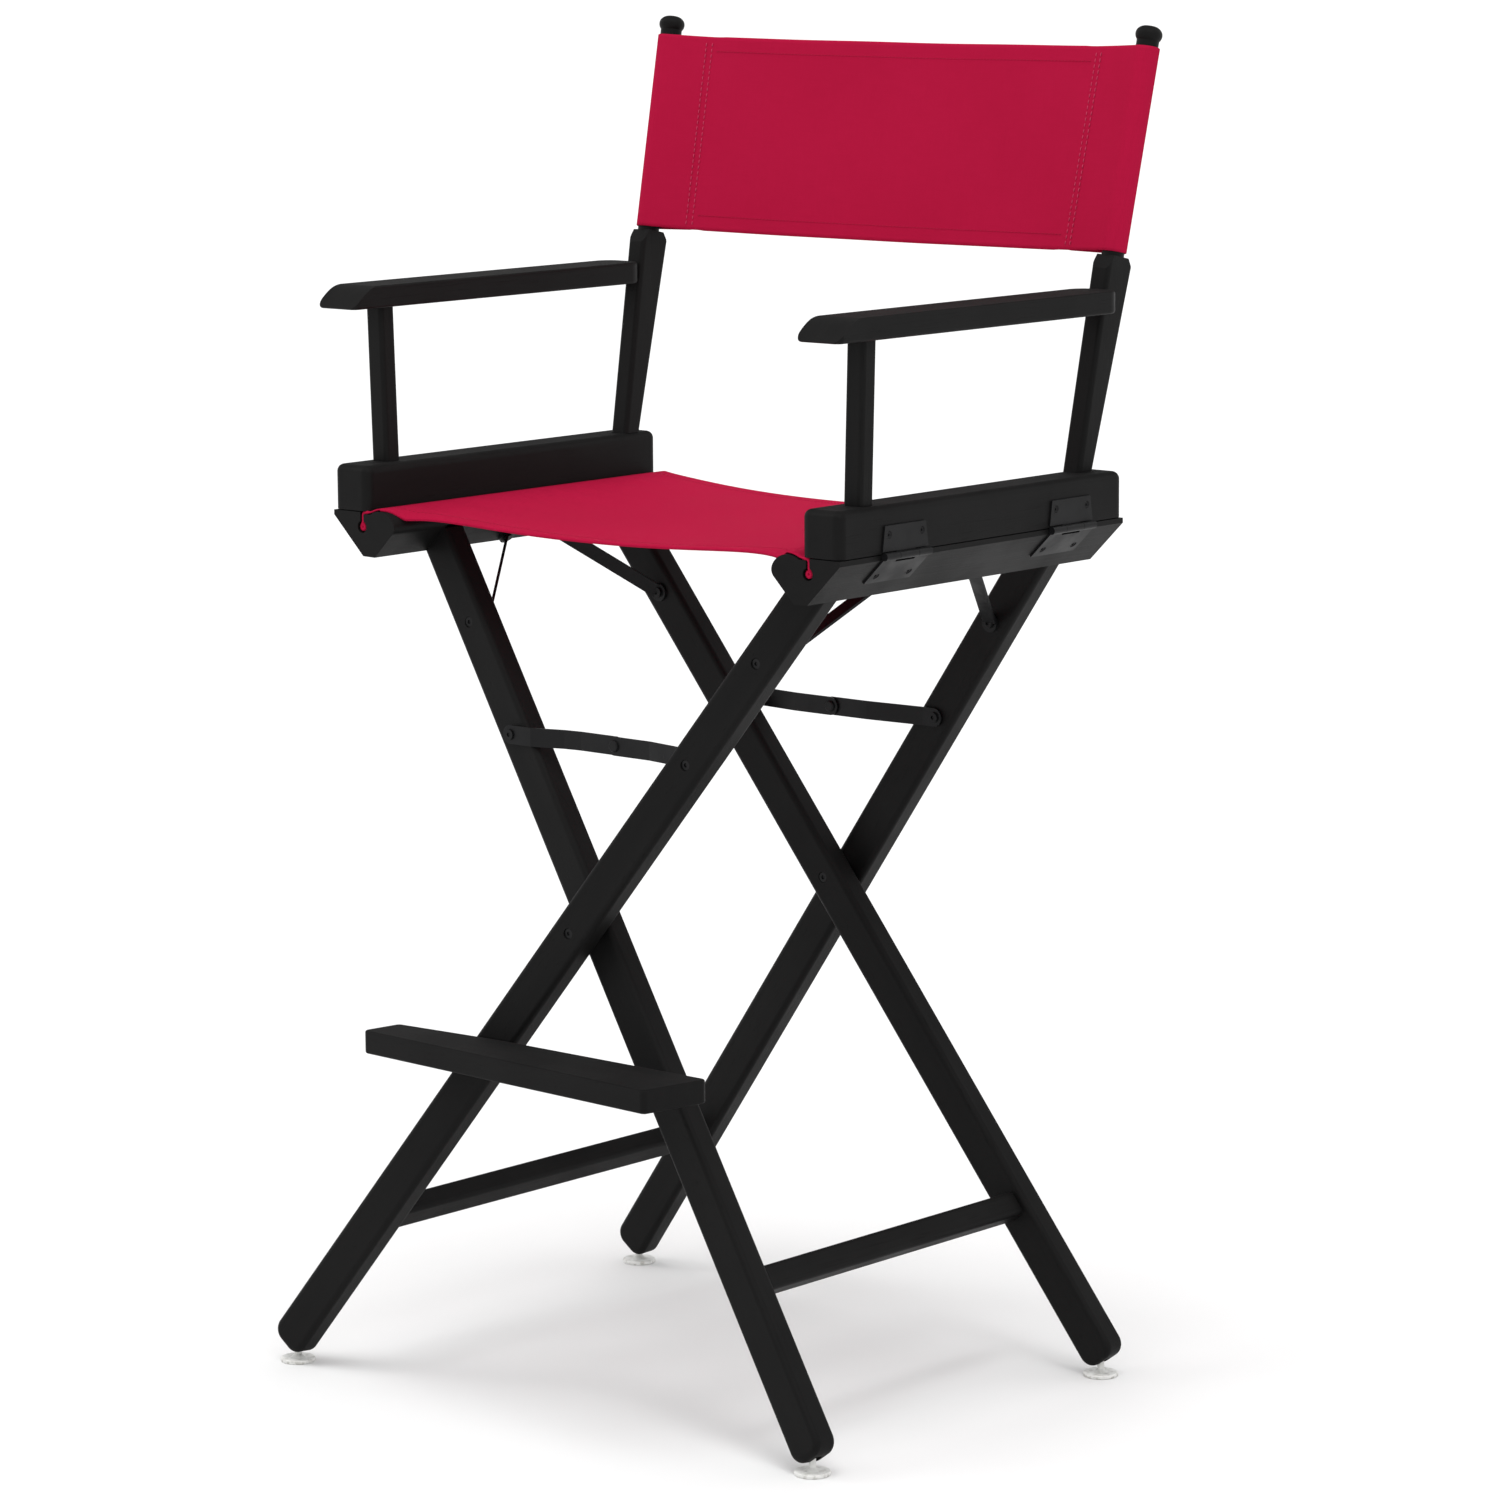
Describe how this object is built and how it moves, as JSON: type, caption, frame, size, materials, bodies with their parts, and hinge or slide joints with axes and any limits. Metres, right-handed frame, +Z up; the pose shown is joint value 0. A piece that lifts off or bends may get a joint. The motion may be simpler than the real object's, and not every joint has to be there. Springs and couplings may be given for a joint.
{
  "type": "folding director chair",
  "caption": "Tall folding director chair with crossed hardwood legs, hinged arm frames, a footrest, and a canvas seat and back.",
  "frame": {"origin": "on the floor under the middle of the chair's box", "axes": "+Z up; the sitter faces -Y; +X is on the right of a person who looks at the chair from the front"},
  "size_m": [0.5944, 0.5316, 1.1436],
  "materials": {
    "black_wood": "satin black lacquer on hardwood",
    "black_steel": "satin black enamel",
    "canvas": "heavy cotton canvas, crimson",
    "nylon": "translucent white nylon",
    "natural_wood": "bare dowel"
  },
  "bodies": {
    "root": {"glide_front_left": "nylon", "glide_rear_left": "nylon"},
    "outer_frame": {"outer_leg_front": "black_wood", "outer_leg_rear": "black_wood", "outer_stretcher": "black_wood", "right_lower_rail": "black_wood", "pivot_bolt_front": "black_steel", "pivot_bolt_rear": "black_steel", "pivot_spacers": "black_steel", "strut_front_right": "black_steel", "strut_rear_right": "black_steel", "outer_strut_fasteners": "black_steel", "outer_brace_bolts": "black_steel", "right_hinge_lower_leaves": "black_steel", "right_hinge_pins": "black_steel", "right_lower_screws": "black_steel", "seat_hem_right": "canvas", "hem_stick_right": "natural_wood", "footrest_bolt": "black_steel"},
    "inner_frame": {"inner_leg_front": "black_wood", "inner_leg_rear": "black_wood", "inner_stretcher": "black_wood", "left_lower_rail": "black_wood", "strut_front_left": "black_steel", "strut_rear_left": "black_steel", "inner_strut_fasteners": "black_steel", "inner_brace_bolts": "black_steel", "left_hinge_lower_leaves": "black_steel", "left_hinge_pins": "black_steel", "left_lower_screws": "black_steel", "seat_hem_left": "canvas", "hem_stick_left": "natural_wood", "footrest_peg": "black_wood"},
    "right_arm": {"right_hinge_upper_leaves": "black_steel", "right_upper_screws": "black_steel", "right_upper_rail": "black_wood", "right_front_post": "black_wood", "right_back_post": "black_wood", "right_finial": "black_wood", "right_armrest": "black_wood", "back_sleeve_right": "canvas"},
    "left_arm": {"left_hinge_upper_leaves": "black_steel", "left_upper_screws": "black_steel", "left_upper_rail": "black_wood", "left_front_post": "black_wood", "left_back_post": "black_wood", "left_finial": "black_wood", "left_armrest": "black_wood", "back_sleeve_left": "canvas"},
    "brace_front_right": {"brace_front_right": "black_steel"},
    "brace_rear_right": {"brace_rear_right": "black_steel"},
    "brace_front_left": {"brace_front_left": "black_steel"},
    "brace_rear_left": {"brace_rear_left": "black_steel"},
    "footrest": {"footrest": "black_wood"},
    "seat_right": {"seat_right": "canvas"},
    "seat_left": {"seat_left": "canvas"},
    "back_right": {"back_right": "canvas"},
    "back_left": {"back_left": "canvas"},
    "right_glides": {"glide_front_right": "nylon", "glide_rear_right": "nylon"}
  },
  "joints": [
    {"name": "fold", "type": "hinge", "parent": "root", "child": "outer_frame", "pos_m": [-0.2809, 0, 0.024], "axis": [0, -1, 0], "range_deg": [0, 31.4]},
    {"name": "cross_pivot", "type": "hinge", "parent": "outer_frame", "child": "inner_frame", "pos_m": [0, 0, 0.405], "axis": [0, 1, 0], "range_deg": [0, 62.82]},
    {"name": "right_glide_swivel", "type": "hinge", "parent": "inner_frame", "child": "right_glides", "pos_m": [0.2809, 0, 0.024], "axis": [0, -1, 0], "range_deg": [0, 31.42]},
    {"name": "right_arm_hinge", "type": "hinge", "parent": "outer_frame", "child": "right_arm", "pos_m": [0.2869, 0, 0.7355], "axis": [0, 1, 0], "range_deg": [0, 31.42]},
    {"name": "left_arm_hinge", "type": "hinge", "parent": "inner_frame", "child": "left_arm", "pos_m": [-0.2869, 0, 0.7355], "axis": [0, -1, 0], "range_deg": [0, 31.42]},
    {"name": "brace_front_right_pivot", "type": "hinge", "parent": "outer_frame", "child": "brace_front_right", "pos_m": [0.11059, -0.13, 0.555], "axis": [0, 1, 0], "range_deg": [0, 112.97]},
    {"name": "brace_rear_right_pivot", "type": "hinge", "parent": "outer_frame", "child": "brace_rear_right", "pos_m": [0.11059, 0.16, 0.555], "axis": [0, 1, 0], "range_deg": [0, 112.97]},
    {"name": "brace_front_left_pivot", "type": "hinge", "parent": "inner_frame", "child": "brace_front_left", "pos_m": [-0.11059, -0.13, 0.555], "axis": [0, -1, 0], "range_deg": [0, 112.97]},
    {"name": "brace_rear_left_pivot", "type": "hinge", "parent": "inner_frame", "child": "brace_rear_left", "pos_m": [-0.11059, 0.16, 0.555], "axis": [0, -1, 0], "range_deg": [0, 112.97]},
    {"name": "footrest_pivot", "type": "hinge", "parent": "outer_frame", "child": "footrest", "pos_m": [-0.07741, -0.1868, 0.3], "axis": [0.0758, -0.9918, 0.1028], "range_deg": [0, 53.62]},
    {"name": "seat_right_fold", "type": "hinge", "parent": "outer_frame", "child": "seat_right", "pos_m": [0.2285, 0, 0.7402], "axis": [0, 1, 0], "range_deg": [0, 119.61], "deforming": ["seat_right"]},
    {"name": "seat_middle_fold", "type": "hinge", "parent": "seat_right", "child": "seat_left", "pos_m": [0, 0, 0.727], "axis": [0, -1, 0], "range_deg": [0, 176.41], "deforming": ["seat_left"]},
    {"name": "back_right_fold", "type": "hinge", "parent": "right_arm", "child": "back_right", "pos_m": [0.26462, 0.23311, 1.04], "axis": [0, -0.2186, -0.9758], "range_deg": [0, 77.74], "deforming": ["back_right"]},
    {"name": "back_middle_fold", "type": "hinge", "parent": "back_right", "child": "back_left", "pos_m": [0, 0.23911, 1.04], "axis": [0, 0.2186, 0.9758], "range_deg": [0, 155.46], "deforming": ["back_left"]}
  ],
  "couplings": [
    {"joint": "cross_pivot", "follows": "fold", "ratio": 2},
    {"joint": "right_glide_swivel", "follows": "fold", "ratio": 1},
    {"joint": "right_arm_hinge", "follows": "fold", "ratio": 1},
    {"joint": "left_arm_hinge", "follows": "fold", "ratio": 1},
    {"joint": "brace_front_right_pivot", "follows": "fold", "ratio": 3.5973},
    {"joint": "brace_rear_right_pivot", "follows": "fold", "ratio": 3.5973},
    {"joint": "brace_front_left_pivot", "follows": "fold", "ratio": 3.5973},
    {"joint": "brace_rear_left_pivot", "follows": "fold", "ratio": 3.5973},
    {"joint": "footrest_pivot", "follows": "fold", "ratio": 1.707},
    {"joint": "seat_right_fold", "follows": "fold", "ratio": 3.8087},
    {"joint": "seat_middle_fold", "follows": "fold", "ratio": 5.6175},
    {"joint": "back_right_fold", "follows": "fold", "ratio": 2.4752},
    {"joint": "back_middle_fold", "follows": "fold", "ratio": 4.9505}
  ]
}
